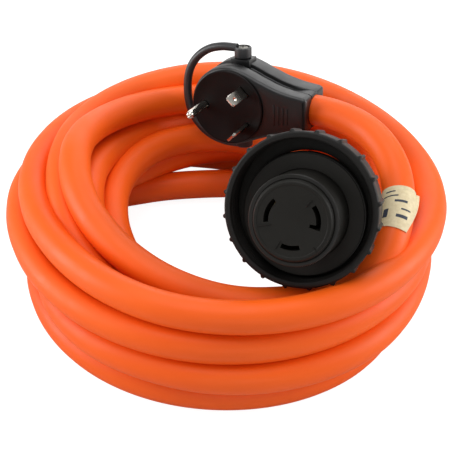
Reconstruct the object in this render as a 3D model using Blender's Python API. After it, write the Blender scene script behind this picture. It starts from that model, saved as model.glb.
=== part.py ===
"""Shore power cord, 30 A: travel-trailer plug, coiled cord and locking-ring connector.

Metres, +Z up, floor at z = 0, the coil centred on the origin, seen from -Y.
The plug and the connector are each built in their own local frame and placed once:
  plug       x toward the cord, y toward the upper handle screw, z out of the face
  connector  z out of the face, y upward, origin on the middle of the flange's front
"""
import math

import bmesh
import bpy
from mathutils import Matrix, Vector

MM = 0.001
GAP = 0.3                       # clearance between neighbouring pieces, mm

# ---- where the two ends sit -------------------------------------------------
PLUG_AT = (-1.8, 39.5, 77.4)    # middle of the plug's face
PLUG_FACE = (-0.424, -0.878, 0.223)
PLUG_CORD = (0.905, -0.405, 0.127)
CONN_AT = (36.4, -65.2, 86.9)   # middle of the connector's flange
CONN_FACE = (-0.295, -0.820, 0.491)

# ---- cord -------------------------------------------------------------------
CORD_R = 8.5                    # 10/3 STW jacket, 17 mm across
COIL_PROFILE = [                # radius, height of the coil's outline
    (80, 0), (80, 26), (88, 40), (96, 51), (104, 59), (110, 62),
    (116, 62), (122, 58), (126, 50), (126, 6), (122, 0),
]

# ---- plug -------------------------------------------------------------------
HEAD_R = 22.5
NECK_END = 46.5
NECK_HALF = 10.0
PLUG_FRONT, PLUG_REAR = -1.2, -28.7
RAIL_FRONT, RAIL_REAR = -10.8, -17.1    # the side channel lies between these
BLADE_X, BLADE_Y, PIN_X = 10.1, 10.3, -14.0
CRIMP_X, CRIMP_Y, CRIMP_Z = 11.4, 7.7, -13.5    # mouth of the upper blade's crimp barrel
PIVOT_X, PIVOT_Z = 1.0, -20.0
LOOP = [                        # centreline of half the pull handle, x and y
    (-2.5, 28.6), (-12, 28.4), (-19, 26.8), (-25, 23.2),
    (-29.8, 18.2), (-32.8, 12.6), (-34.2, 6.5), (-34.6, 0),
]
LOOP_R = 2.25

# ---- connector --------------------------------------------------------------
BARREL_R, FLANGE_R, GRIP_R = 22.4, 31.0, 23.6
BARREL_TOP, FACE_TOP = 22.0, 24.5
CONN_REAR = -60.0
SLOT_R = 12.9
SLOTS = [                       # name, from and to angle, degrees
    ("hot", 128, 181), ("neutral", -117, -76), ("ground", -20, 33),
]
RING_OFF = (-0.1, 2.9)           # the loose ring hangs off centre by this much
RING_FRONT, RING_LIP, RING_REAR = 8.0, -7.2, -10.0
RING_RIBS = 20


def frame(at, x=None, z=None):
    """A placing matrix, in metres, from an origin in mm and two axes."""
    zv = Vector(z).normalized()
    xv = Vector(x)
    xv = (xv - zv * xv.dot(zv)).normalized()
    yv = zv.cross(xv)
    m = Matrix((xv, yv, zv)).transposed().to_4x4()
    m.translation = Vector(at) * MM
    return m


PLUG = frame(PLUG_AT, PLUG_CORD, PLUG_FACE)
CONN = frame(CONN_AT, (0.954, -0.227, 0.195), CONN_FACE)


def clear_scene():
    for ob in list(bpy.data.objects):
        bpy.data.objects.remove(ob, do_unlink=True)


def material(name, colour, metallic=0.0, roughness=0.5):
    mat = bpy.data.materials.new(name)
    mat.use_nodes = True
    bsdf = mat.node_tree.nodes["Principled BSDF"]
    bsdf.inputs["Base Color"].default_value = (*colour, 1)
    bsdf.inputs["Metallic"].default_value = metallic
    bsdf.inputs["Roughness"].default_value = roughness
    return mat


COLOURS = {
    "jacket": ((0.80, 0.13, 0.02), 0, 0.42),
    "black": ((0.012, 0.011, 0.010), 0, 0.5),
    "face": ((0.010, 0.009, 0.009), 0, 0.6),
    "nickel": ((0.62, 0.58, 0.52), 1, 0.3),
    "brass": ((0.62, 0.43, 0.16), 1, 0.32),
    "copper": ((0.72, 0.30, 0.16), 1, 0.35),
    "rubber": ((0.015, 0.015, 0.015), 0, 0.8),
    "label": ((0.80, 0.72, 0.55), 0, 0.6),
    "wire_black": ((0.02, 0.02, 0.02), 0, 0.45),
    "wire_white": ((0.75, 0.75, 0.72), 0, 0.45),
    "wire_green": ((0.02, 0.25, 0.07), 0, 0.45),
}
MATS = {}


def finish_object(name, mesh, mat, at=None, smooth=True):
    """A named object from a bmesh whose points are in mm in the frame `at`."""
    data = bpy.data.meshes.new(name)
    for v in mesh.verts:
        v.co *= MM
    bmesh.ops.recalc_face_normals(mesh, faces=mesh.faces)
    mesh.to_mesh(data)
    mesh.free()
    ob = bpy.data.objects.new(name, data)
    bpy.context.scene.collection.objects.link(ob)
    if mat not in MATS:
        MATS[mat] = material(mat, *COLOURS[mat])
    data.materials.append(MATS[mat])
    for poly in data.polygons:
        poly.use_smooth = smooth
    if at is not None:
        ob.matrix_world = at
    return ob


def rings_to_mesh(rings, closed=False):
    """Skin a row of loops that all have the same number of points."""
    bm = bmesh.new()
    rows = [[bm.verts.new(p) for p in ring] for ring in rings]
    n = len(rings[0])
    pairs = list(zip(rows, rows[1:])) + ([(rows[-1], rows[0])] if closed else [])
    for a, b in pairs:
        for i in range(n):
            j = (i + 1) % n
            bm.faces.new((a[i], a[j], b[j], b[i]))
    if not closed:
        bm.faces.new(rows[0])
        bm.faces.new(rows[-1])
    return bm


def circle(r, z, n, cx=0.0, cy=0.0):
    return [
        (cx + r * math.cos(2 * math.pi * i / n), cy + r * math.sin(2 * math.pi * i / n), z)
        for i in range(n)
    ]


def turned(name, profile, n, mat, at=None, hole=False, cx=0.0, cy=0.0):
    """A turned solid from (radius, height) pairs; with a hole the outline closes on itself."""
    rings = [circle(r, z, n, cx, cy) for r, z in profile]
    return finish_object(name, rings_to_mesh(rings, closed=hole), mat, at)


def sweep(points, radius, n, up=Vector((0, 0, 1))):
    """Loops of a round bar that follows the points."""
    pts = [Vector(p) for p in points]
    rings = []
    for i, p in enumerate(pts):
        a = pts[max(i - 1, 0)]
        b = pts[min(i + 1, len(pts) - 1)]
        t = (b - a).normalized()
        s = t.cross(up).normalized()
        u = s.cross(t)
        rings.append([
            p + radius * (s * math.cos(2 * math.pi * k / n) + u * math.sin(2 * math.pi * k / n))
            for k in range(n)
        ])
    return rings


def box(bm, lo, hi, turn=0.0, about=(0, 0)):
    """Add a box, turned by some degrees about the z axis through a point."""
    made = bmesh.ops.create_cube(bm, size=1.0)["verts"]
    for v in made:
        v.co = Vector([lo[k] + (v.co[k] + 0.5) * (hi[k] - lo[k]) for k in range(3)])
    if turn:
        centre = Vector((about[0], about[1], 0))
        bmesh.ops.rotate(bm, verts=made, cent=centre, matrix=Matrix.Rotation(math.radians(turn), 3, "Z"))
    return made


def box_object(name, lo, hi, mat, at, turn=0.0, about=(0, 0)):
    bm = bmesh.new()
    box(bm, lo, hi, turn, about)
    return finish_object(name, bm, mat, at, smooth=False)


def rod(name, start, end, radius, n, mat, at):
    """A straight round rod between two points."""
    a, b = Vector(start), Vector(end)
    up = Vector((0, 0, 1)) if abs((b - a).normalized().z) < 0.9 else Vector((1, 0, 0))
    rings = sweep([a, b], radius, n, up)
    return finish_object(name, rings_to_mesh(rings), mat, at)


def combine(target, others, how):
    """Boolean the other objects into or out of the target and hide them."""
    for ob in others:
        mod = target.modifiers.new(ob.name, "BOOLEAN")
        mod.operation = how
        mod.solver = "EXACT"
        mod.object = ob
        ob.hide_render = True
        ob.display_type = "WIRE"


def hermite(p0, t0, p1, t1, n):
    """n + 1 points of the smooth curve from p0 along t0 to p1 along t1."""
    p0, t0, p1, t1 = (Vector(v) for v in (p0, t0, p1, t1))
    out = []
    for k in range(n + 1):
        t = k / n
        out.append(
            p0 * (2 * t**3 - 3 * t * t + 1) + t0 * (t**3 - 2 * t * t + t)
            + p1 * (3 * t * t - 2 * t**3) + t1 * (t**3 - t * t)
        )
    return out


def tube(name, points, radius, mat):
    """A cord stretch as a plain curve object; the points are in mm."""
    curve = bpy.data.curves.new(name, "CURVE")
    curve.dimensions = "3D"
    curve.bevel_depth = radius * MM
    curve.bevel_resolution = 3
    curve.use_fill_caps = True
    curve.resolution_u = 1
    curve.render_resolution_u = 0
    spline = curve.splines.new("POLY")
    spline.points.add(len(points) - 1)
    for sp, p in zip(spline.points, points):
        sp.co = (*(Vector(p) * MM), 1)
    if mat not in MATS:
        MATS[mat] = material(mat, *COLOURS[mat])
    curve.materials.append(MATS[mat])
    ob = bpy.data.objects.new(name, curve)
    bpy.context.scene.collection.objects.link(ob)
    return ob


def world(m, p):
    """A local point in mm as a scene point in mm."""
    return (m @ (Vector(p) * MM)) / MM


# ---- plug -------------------------------------------------------------------
def plug_half_width(x):
    """Half the width of the plug's outline on the neck side, at x."""
    table = [(12.0, 19.0), (16.5, 16.9), (21.5, 14.6), (27, 12.9), (33, 11.5), (39, 10.6), (NECK_END, NECK_HALF)]
    for (xa, ya), (xb, yb) in zip(table, table[1:]):
        if x <= xb:
            return ya + (yb - ya) * (x - xa) / (xb - xa)
    return NECK_HALF


def plug_outline():
    """Corner points of the plug seen on its face, going round once."""
    start = math.atan2(19.0, 12.0)
    turns = 26
    head = [
        (HEAD_R * math.cos(start + (2 * math.pi - 2 * start) * i / turns),
         HEAD_R * math.sin(start + (2 * math.pi - 2 * start) * i / turns))
        for i in range(turns + 1)
    ]
    xs = [16.5, 21.5, 27, 33, 39, 43, NECK_END]
    lower = [(x, -plug_half_width(x)) for x in xs]
    upper = [(x, plug_half_width(x)) for x in reversed(xs)]
    return head + lower + upper


def inset_outline(outline, amount):
    """Move each corner inward by amount(x)."""
    out = []
    n = len(outline)
    for i, (x, y) in enumerate(outline):
        xa, ya = outline[i - 1]
        xb, yb = outline[(i + 1) % n]
        t = Vector((xb - xa, yb - ya)).normalized()
        d = amount(x)
        out.append((x - t.y * d, y + t.x * d))
    return out


def build_plug():
    outline = plug_outline()

    def channel(x):
        return 2.4 if x < 30 else max(0.0, 2.4 * (41.5 - x) / 11.5)

    layers = [
        (PLUG_REAR, lambda x: 1.6), (PLUG_REAR + 1.6, lambda x: 0.0),
        (RAIL_REAR, lambda x: 0.0), (RAIL_REAR + 0.4, channel),
        (RAIL_FRONT - 0.4, channel), (RAIL_FRONT, lambda x: 0.0),
        (PLUG_FRONT - 1.5, lambda x: 0.0), (PLUG_FRONT, lambda x: 1.4),
    ]
    rings = [[(x, y, z) for x, y in inset_outline(outline, amount)] for z, amount in layers]
    body = finish_object("plug_body", rings_to_mesh(rings), "black", PLUG)
    pads = [
        rod(f"cut_pad_{s}", (PIVOT_X, sign * 15, PIVOT_Z), (PIVOT_X, sign * 23.4, PIVOT_Z), 6.2, 24, "black", PLUG)
        for s, sign in (("a", 1), ("b", -1))
    ]
    combine(body, pads, "UNION")
    mid = (PLUG_FRONT + PLUG_REAR) / 2
    cuts = [
        turned("cut_pocket", [(16.4, -22.5), (16.4, -7.4), (17.6, -7.4), (17.6, 0)], 40, "black", PLUG),
        box_object("cut_way", (9, -10.4, mid - 5.6), (21, 10.4, mid + 5.6), "black", PLUG),
        box_object("cut_taper", (19, -8.4, mid - 5.8), (29.5, 8.4, mid + 5.8), "black", PLUG),
        box_object("cut_throat", (28, -6.2, mid - 6.0), (36, 6.2, mid + 6.0), "black", PLUG),
        rod("cut_bore", (33, 0, mid), (50, 0, mid), CORD_R + GAP, 32, "black", PLUG),
    ]
    cuts += [
        rod(f"cut_insert_{s}", (PIVOT_X, sign * 17.6, PIVOT_Z), (PIVOT_X, sign * 25, PIVOT_Z), 3.1, 20, "black", PLUG)
        for s, sign in (("a", 1), ("b", -1))
    ]
    combine(body, cuts, "DIFFERENCE")

    face = turned(
        "plug_face",
        [(17.3, -7.1), (17.3, PLUG_FRONT + 0.2), (20.6, PLUG_FRONT + 0.2), (21.2, -0.6), (20.7, 0)],
        48, "face", PLUG,
    )
    cuts = [
        box_object(f"cut_slot_{s}", (BLADE_X - 3.5, sign * BLADE_Y - 1.15, -9), (BLADE_X + 3.5, sign * BLADE_Y + 1.15, 3),
                   "face", PLUG, -45 * sign, (BLADE_X, sign * BLADE_Y))
        for s, sign in (("a", 1), ("b", -1))
    ]
    cuts.append(rod("cut_pin_hole", (PIN_X, 0, -9), (PIN_X, 0, 3), 2.4 + GAP, 24, "face", PLUG))
    combine(face, cuts, "DIFFERENCE")

    for name, sign in (("hot", 1), ("neutral", -1)):
        build_blade(name, sign)
    build_ground_pin()
    build_plug_wires(mid)
    build_handle()


def build_blade(name, sign):
    """A flat blade at 45 degrees with a drilled tip and a crimp barrel behind the face."""
    y = sign * BLADE_Y
    bm = bmesh.new()
    made = box(bm, (BLADE_X - 3.1, y - 0.85, -11.1), (BLADE_X + 3.1, y + 0.85, 18))
    tip = [v for v in made if v.co.z > 17]
    for v in tip:
        v.co.x = BLADE_X + (v.co.x - BLADE_X) * 0.62
        v.co.y = y + (v.co.y - y) * 0.7
    shoulder = bmesh.ops.bisect_plane(
        bm, geom=bm.verts[:] + bm.edges[:] + bm.faces[:],
        plane_co=(0, 0, 15.6), plane_no=(0, 0, 1))["geom_cut"]
    for v in (g for g in shoulder if isinstance(g, bmesh.types.BMVert)):
        v.co.x = BLADE_X + 3.1 * (1 if v.co.x > BLADE_X else -1)
        v.co.y = y + 0.85 * (1 if v.co.y > y else -1)
    bmesh.ops.rotate(bm, verts=bm.verts, cent=(BLADE_X, y, 0), matrix=Matrix.Rotation(math.radians(-45 * sign), 3, "Z"))
    blade = finish_object(f"blade_{name}", bm, "nickel", PLUG, smooth=False)
    crimp = sign * CRIMP_Y
    barrel = rod(f"cut_barrel_{name}", (CRIMP_X - 7.2, crimp, CRIMP_Z), (CRIMP_X, crimp, CRIMP_Z), 2.7, 20, "nickel", PLUG)
    combine(blade, [barrel], "UNION")
    across = Vector((math.sin(math.radians(45 * sign)), math.cos(math.radians(45 * sign)), 0))
    hole = Vector((BLADE_X, y, 13.2))
    cuts = [
        rod(f"cut_bore_{name}", (CRIMP_X - 5.6, crimp, CRIMP_Z), (CRIMP_X + 2, crimp, CRIMP_Z), 1.75, 16, "nickel", PLUG),
        rod(f"cut_hole_{name}", hole - across * 3, hole + across * 3, 1.1, 16, "nickel", PLUG),
    ]
    combine(blade, cuts, "DIFFERENCE")


def build_ground_pin():
    """The round ground pin, with its crimp barrel lying behind the face."""
    profile = [(2.4, -13.3), (2.4, 16.6), (2.15, 18.4), (1.5, 19.8), (0.6, 20.4)]
    pin = turned("ground_pin", profile, 24, "nickel", PLUG, cx=PIN_X)
    barrel = rod("cut_barrel_ground", (PIN_X - 2.2, 0, CRIMP_Z), (PIN_X + 6, 0, CRIMP_Z), 2.7, 20, "nickel", PLUG)
    combine(pin, [barrel], "UNION")
    bore = rod("cut_bore_ground", (PIN_X, 0, CRIMP_Z), (PIN_X + 8, 0, CRIMP_Z), 1.75, 16, "nickel", PLUG)
    combine(pin, [bore], "DIFFERENCE")


def build_plug_wires(mid):
    """Three insulated conductors from the jacket's end to the crimps, and their bare ends."""
    runs = {
        "hot": ("wire_black", CRIMP_X, CRIMP_Y, 2.9),
        "neutral": ("wire_white", CRIMP_X, -CRIMP_Y, -2.9),
        "ground": ("wire_green", PIN_X + 6, 0, 0.0),
    }
    for name, (mat, mouth, by, side) in runs.items():
        z0 = mid - (2.6 if name == "ground" else -2.2)
        start = Vector((33.6, side, z0))
        stop = Vector((mouth + 1.6, by, CRIMP_Z))
        reach = (start - stop).length
        pts = hermite(start, (-reach * 1.1, 0, 0), stop, (-reach * 0.9, 0, 0), 9)
        finish_object(f"plug_wire_{name}", rings_to_mesh(sweep(pts, 2.2, 12)), mat, PLUG)
        rod(f"plug_core_{name}", (mouth - 4.4, by, CRIMP_Z), (mouth + 1.2, by, CRIMP_Z), 1.45, 12, "copper", PLUG)


def build_handle():
    """The swinging pull handle: two eyelets joined by a bent round bar."""
    pivot = PLUG @ Matrix.Translation(Vector((PIVOT_X, 0, PIVOT_Z)) * MM)
    half = [(x - PIVOT_X, y, 0) for x, y in LOOP]
    path = half + [(x, -y, z) for x, y, z in reversed(half[:-1])]
    smooth = []
    for i in range(len(path) - 1):
        a, b = Vector(path[max(i - 1, 0)]), Vector(path[i])
        c, d = Vector(path[i + 1]), Vector(path[min(i + 2, len(path) - 1)])
        smooth += hermite(b, (c - a) / 2, c, (d - b) / 2, 2)[:-1]
    smooth.append(Vector(path[-1]))
    bar = finish_object("pull_handle", rings_to_mesh(sweep(smooth, LOOP_R, 14)), "black", pivot)
    eyes = [
        rod(f"cut_eye_{s}", (0, sign * 23.7, 0), (0, sign * 29.6, 0), 4.8, 28, "black", pivot)
        for s, sign in (("a", 1), ("b", -1))
    ]
    combine(bar, eyes, "UNION")
    holes = []
    for s, sign in (("a", 1), ("b", -1)):
        holes.append(rod(f"cut_eye_hole_{s}", (0, sign * 22, 0), (0, sign * 32, 0), 1.9, 16, "black", pivot))
        holes.append(rod(f"cut_eye_sink_{s}", (0, sign * 28.4, 0), (0, sign * 32, 0), 3.9, 20, "black", pivot))
    combine(bar, holes, "DIFFERENCE")
    for s, sign in (("upper", 1), ("lower", -1)):
        turn = pivot @ Matrix.Rotation(math.radians(-90 * sign), 4, "X")
        turned(f"handle_screw_{s}",
               [(1.35, 18.6), (1.35, 28.7), (3.4, 28.7), (3.4, 29.2), (2.7, 30.0), (1.4, 30.4)], 20, "nickel", turn)
        turned(f"handle_insert_{s}", [(2.8, 18.0), (2.8, 23.1), (1.65, 23.1), (1.65, 18.0)], 20, "brass", turn, hole=True)


# ---- connector --------------------------------------------------------------
def build_connector():
    turned(
        "connector_body",
        [
            (BARREL_R, 0.2), (BARREL_R, BARREL_TOP - 0.8), (BARREL_R - 0.8, BARREL_TOP), (20.1, BARREL_TOP),
            (20.1, 3.0), (17.8, 3.0), (17.8, -24), (8.0, -34), (8.0, -48), (CORD_R + GAP, -48),
            (CORD_R + GAP, CONN_REAR), (12.4, CONN_REAR), (13.6, CONN_REAR + 1.4), (16.5, -50),
            (22.2, -38), (GRIP_R, -31), (GRIP_R, -5), (FLANGE_R - 0.8, -5), (FLANGE_R, -4.2), (FLANGE_R, 0.2),
        ],
        56, "black", CONN, hole=True,
    )
    turned(
        "flange_gasket",
        [(BARREL_R + GAP, 0.4), (BARREL_R + GAP, 1.8), (28.0, 1.8), (28.8, 1.2), (28.8, 0.4)],
        56, "rubber", CONN, hole=True,
    )
    build_insert()
    for name, lo, hi in SLOTS:
        build_contact(name, math.radians(lo), math.radians(hi))


def arc_block(name, r0, r1, a0, a1, z0, z1, mat, n=8):
    """A solid bent strip between two radii, two angles and two heights."""
    angles = [a0 + (a1 - a0) * i / n for i in range(n + 1)]
    rings = [
        [(r0 * math.cos(a), r0 * math.sin(a), z0), (r1 * math.cos(a), r1 * math.sin(a), z0),
         (r1 * math.cos(a), r1 * math.sin(a), z1), (r0 * math.cos(a), r0 * math.sin(a), z1)]
        for a in angles
    ]
    return finish_object(name, rings_to_mesh(rings), mat, CONN, smooth=False)


def build_insert():
    insert = turned(
        "connector_insert",
        [(19.8, 3.4), (19.8, 21.2), (19.2, 21.2), (19.2, FACE_TOP - 0.8), (18.4, FACE_TOP)],
        48, "face", CONN,
    )
    cuts = []
    for name, lo, hi in SLOTS:
        cuts.append(arc_block(f"cut_slot_{name}", SLOT_R - 1.2, SLOT_R + 1.2, math.radians(lo), math.radians(hi),
                              0, 30, "face"))
    hook = math.radians(-20)
    across = arc_block("cut_slot_hook", SLOT_R - 4.4, SLOT_R + 0.4, hook, hook + 0.17, FACE_TOP - 5, 30, "face", 2)
    cuts.append(across)
    combine(insert, cuts, "DIFFERENCE")


def build_contact(name, lo, hi):
    """A bent spring contact with its terminal block, clamp screw and conductor."""
    mid = (lo + hi) / 2
    spin = CONN @ Matrix.Rotation(mid, 4, "Z")
    strip = arc_block(f"contact_{name}", SLOT_R + 0.2, SLOT_R + 0.95, lo + 0.05, hi - 0.05, -2, 12, "brass")
    block = box_object(f"cut_block_{name}", (7.4, -3.6, -12), (14.4, 3.6, 1.6), "brass", spin)
    combine(strip, [block], "UNION")
    cuts = [
        rod(f"cut_wire_hole_{name}", (9.8, 0, -14), (9.8, 0, -3), 1.75, 16, "brass", spin),
        rod(f"cut_screw_hole_{name}", (9.8, 0, -7.6), (16, 0, -7.6), 1.75, 16, "brass", spin),
    ]
    combine(strip, cuts, "DIFFERENCE")
    turn = spin @ Matrix.Translation(Vector((0, 0, -7.6)) * MM) @ Matrix.Rotation(math.radians(90), 4, "Y")
    turned(f"clamp_screw_{name}", [(1.45, 11.6), (1.45, 14.7), (2.6, 14.7), (2.6, 16.2), (2.2, 16.6)], 18, "nickel", turn)
    wires = {"hot": "wire_black", "neutral": "wire_white", "ground": "wire_green"}
    start = Vector((2.75 * math.cos(mid), 2.75 * math.sin(mid), -46.5))
    stop = Vector((9.8 * math.cos(mid), 9.8 * math.sin(mid), -12.9))
    pts = hermite(start, (0, 0, 34), stop, (0, 0, 30), 9)
    finish_object(f"connector_wire_{name}", rings_to_mesh(sweep(pts, 2.2, 12, Vector((0.3, 1, 0)))), wires[name], CONN)
    rod(f"connector_core_{name}", (9.8, 0, -12.8), (9.8, 0, -3.6), 1.3, 12, "copper", spin)


def build_ring():
    """The loose threaded ring and the flat seal it carries; both share the ring's own axis."""
    at = CONN @ Matrix.Translation(Vector((*RING_OFF, 0)) * MM)
    n = RING_RIBS * 6

    def outer(radius, height, z):
        out = []
        for i in range(n):
            a = 2 * math.pi * i / n
            r = radius + (height if i % 6 in (0, 1) else 0.0)
            out.append((r * math.cos(a), r * math.sin(a), z))
        return out

    rings = [
        outer(37.3, 0, RING_FRONT), outer(38.4, 0, RING_FRONT - 1.2), outer(38.4, 1.1, RING_FRONT - 1.8),
        outer(37.1, 1.1, RING_REAR + 1.8), outer(37.1, 0, RING_REAR + 1.2), outer(36.0, 0, RING_REAR),
        outer(28.0, 0, RING_REAR), outer(28.0, 0, RING_LIP), outer(35.6, 0, RING_LIP),
    ]
    thread = RING_LIP + 4.0
    while thread < RING_FRONT - 1.5:
        rings += [outer(35.6, 0, thread - 0.9), outer(34.7, 0, thread - 0.3),
                  outer(34.7, 0, thread + 0.3), outer(35.6, 0, thread + 0.9)]
        thread += 2.9
    rings.append(outer(35.6, 0, RING_FRONT))
    finish_object("locking_ring", rings_to_mesh(rings, closed=True), "black", at)
    turned("ring_seal", [(28.2, RING_LIP + 0.2), (35.2, RING_LIP + 0.2), (35.2, -5.3), (28.2, -5.3)], 64, "rubber", at,
           hole=True)


# ---- cord -------------------------------------------------------------------
def lead_points():
    """From inside the plug's neck, out and over to the right of the coil."""
    mid = (PLUG_FRONT + PLUG_REAR) / 2
    inner = world(PLUG, (34.2, 0, mid))
    exit_ = world(PLUG, (NECK_END, 0, mid))
    along = (exit_ - inner).normalized()
    over = Vector((-0.20, -0.93, -0.30))
    bend = hermite(exit_, along * 110, (85.5, -47, 68.5), over * 110, 14)
    return [inner] + bend + [bend[-1] + over * 5]


def tail_points():
    """From the coil's inner side along the floor and up into the connector."""
    rear = world(CONN, (0, 0, CONN_REAR))
    inner = world(CONN, (0, 0, -48.6))
    along = (inner - rear).normalized()
    floor = [(-45, 56.0, 8.8), (-25, 58.2, 8.8)]
    bend = hermite((-5, 59, 8.8), (130, 0, 0), rear, along * 130, 16)
    return [Vector(p) for p in floor] + bend + [inner]


def build_label(points):
    """A paper sleeve wrapped round the lead, with the two ends stuck together as a small flag."""
    pts = points[12:16]
    n = 40
    rings_out = sweep(pts, CORD_R + 0.75, n)
    rings_in = sweep(pts, CORD_R + GAP, n)
    for ring, base in zip(rings_out, pts):
        for k in (n // 2, n // 2 + 1):
            out = (ring[k] - base).normalized()
            ring[k] = base + out * (CORD_R + 4.6)
    bm = bmesh.new()
    outer = [[bm.verts.new(p) for p in r] for r in rings_out]
    inner = [[bm.verts.new(p) for p in r] for r in rings_in]
    for rows in (outer, inner):
        for a, b in zip(rows, rows[1:]):
            for i in range(n):
                j = (i + 1) % n
                bm.faces.new((a[i], a[j], b[j], b[i]))
    for a, b in ((outer[0], inner[0]), (outer[-1], inner[-1])):
        for i in range(n):
            j = (i + 1) % n
            bm.faces.new((a[i], a[j], b[j], b[i]))
    finish_object("cord_label", bm, "label", None)


def build_cord():
    turned("cord_coil", COIL_PROFILE, 72, "jacket", None, hole=True)
    lead = lead_points()
    tube("cord_lead", lead, CORD_R, "jacket")
    tube("cord_tail", tail_points(), CORD_R, "jacket")
    build_label(lead)


clear_scene()
build_plug()
build_connector()
build_ring()
build_cord()
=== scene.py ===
"""Looks of the shore power cord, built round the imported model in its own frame.

Lengths are in millimetres until a mesh is made, and in metres from then on.
"""

import math

import bmesh
import bpy
from mathutils import Matrix, Vector

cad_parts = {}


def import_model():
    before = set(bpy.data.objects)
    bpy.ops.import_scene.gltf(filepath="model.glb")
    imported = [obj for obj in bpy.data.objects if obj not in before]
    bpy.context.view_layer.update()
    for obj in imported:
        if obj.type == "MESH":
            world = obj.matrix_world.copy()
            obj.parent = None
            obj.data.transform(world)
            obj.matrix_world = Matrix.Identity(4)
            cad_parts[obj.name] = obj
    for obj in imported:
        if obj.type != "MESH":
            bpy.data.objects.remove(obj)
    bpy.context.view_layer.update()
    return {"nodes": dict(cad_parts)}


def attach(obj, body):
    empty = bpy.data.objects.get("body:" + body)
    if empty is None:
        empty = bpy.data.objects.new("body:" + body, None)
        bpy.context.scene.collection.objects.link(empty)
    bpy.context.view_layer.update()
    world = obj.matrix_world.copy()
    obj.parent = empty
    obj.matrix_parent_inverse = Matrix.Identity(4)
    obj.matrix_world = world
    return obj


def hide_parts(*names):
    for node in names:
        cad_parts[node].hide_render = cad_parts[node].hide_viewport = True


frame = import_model()

MM = 0.001
CORD_D = 17.0
CORD_R = CORD_D / 2


def new_object(name, data):
    ob = bpy.data.objects.new(name, data)
    bpy.context.scene.collection.objects.link(ob)
    return ob


# ---- camera -----------------------------------------------------------------
def build_camera():
    data = bpy.data.cameras.new("camera")
    data.sensor_width = 36
    data.lens = 102.9
    cam = new_object("camera", data)
    cam.location = (0, -0.5516, 0.488)
    cam.rotation_euler = (math.radians(50), 0, math.radians(0.29))
    bpy.context.scene.camera = cam


# ---- local frames, the same as the solids' ------------------------------------
def place(at, x, z):
    """A frame at a point, with its z axis along z and its x axis as near x as that allows."""
    zv = Vector(z).normalized()
    xv = Vector(x)
    xv = (xv - zv * xv.dot(zv)).normalized()
    m = Matrix((xv, zv.cross(xv), zv)).transposed().to_4x4()
    m.translation = Vector(at) * MM
    return m


# The plug's frame has its origin in the middle of the face, x toward the cord and z out of the face.
PLUG = place((-1.8, 39.5, 77.4), (0.905, -0.405, 0.127), (-0.424, -0.878, 0.223))
PLUG_MID = -14.95
NECK_END = 46.5
CORD_START = 34.2
# The connector's frame has its origin on the axis, level with the flange's front, and z out of the face.
CONN = place((36.4, -65.2, 86.9), (0.954, -0.227, 0.195), (-0.295, -0.820, 0.491))
CONN_REAR = -60.0
CORD_STOP = -48.6


def world(m, p):
    """A point of a local frame, in the part's frame."""
    return (m @ (Vector(p) * MM)) / MM


# ---- materials ----------------------------------------------------------------
class Nodes:
    """Short calls for building a material's node tree. Noise runs in the object's own space, in metres."""

    def __init__(self, name):
        self.mat = bpy.data.materials.new(name)
        self.mat.use_nodes = True
        self.tree = self.mat.node_tree
        self.bsdf = self.tree.nodes["Principled BSDF"]
        self.coords = self.tree.nodes.new("ShaderNodeTexCoord")

    def set(self, **values):
        for key, value in values.items():
            self.bsdf.inputs[key.replace("_", " ")].default_value = value

    def join(self, a, b):
        self.tree.links.new(a, b)

    def noise(self, scale, detail=3.0, rough=0.5, distort=0.0):
        node = self.tree.nodes.new("ShaderNodeTexNoise")
        node.inputs["Scale"].default_value = scale
        node.inputs["Detail"].default_value = detail
        node.inputs["Roughness"].default_value = rough
        node.inputs["Distortion"].default_value = distort
        self.join(self.coords.outputs["Object"], node.inputs["Vector"])
        return node.outputs["Fac"]

    def ramp(self, fac, *stops):
        node = self.tree.nodes.new("ShaderNodeValToRGB")
        while len(node.color_ramp.elements) < len(stops):
            node.color_ramp.elements.new(0.5)
        for element, (at, colour) in zip(node.color_ramp.elements, stops):
            element.position = at
            element.color = (*colour, 1)
        self.join(fac, node.inputs["Fac"])
        return node.outputs["Color"]

    def range(self, fac, lo, hi, start=0.3, stop=0.7):
        node = self.tree.nodes.new("ShaderNodeMapRange")
        for key, value in (("From Min", start), ("From Max", stop), ("To Min", lo), ("To Max", hi)):
            node.inputs[key].default_value = value
        self.join(fac, node.inputs["Value"])
        return node.outputs["Result"]

    def add(self, a, b, weight):
        """a + b * weight."""
        node = self.tree.nodes.new("ShaderNodeMath")
        node.operation = "MULTIPLY_ADD"
        node.inputs[1].default_value = weight
        self.join(b, node.inputs[0])
        self.join(a, node.inputs[2])
        return node.outputs[0]

    def bump(self, height, strength, distance):
        node = self.tree.nodes.new("ShaderNodeBump")
        node.inputs["Strength"].default_value = strength
        node.inputs["Distance"].default_value = distance * MM
        self.join(height, node.inputs["Height"])
        self.join(node.outputs["Normal"], self.bsdf.inputs["Normal"])

    def colour(self, socket):
        self.join(socket, self.bsdf.inputs["Base Color"])

    def roughness(self, socket):
        self.join(socket, self.bsdf.inputs["Roughness"])


def jacket_material():
    """Extruded vinyl jacket: slow colour drift, faint haze marks and a very fine pebble."""
    n = Nodes("orange_jacket")
    drift = n.noise(14, 2)
    n.colour(n.ramp(drift, (0.3, (0.86, 0.102, 0.003)), (0.7, (0.92, 0.119, 0.005))))
    haze = n.noise(55, 5, 0.6, 0.8)
    n.roughness(n.range(haze, 0.42, 0.56))
    pebble = n.add(n.noise(420, 3), n.noise(60, 3), 1.6)
    n.bump(pebble, 0.25, 0.12)
    n.set(Specular_IOR_Level=0.32)
    return n.mat


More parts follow.
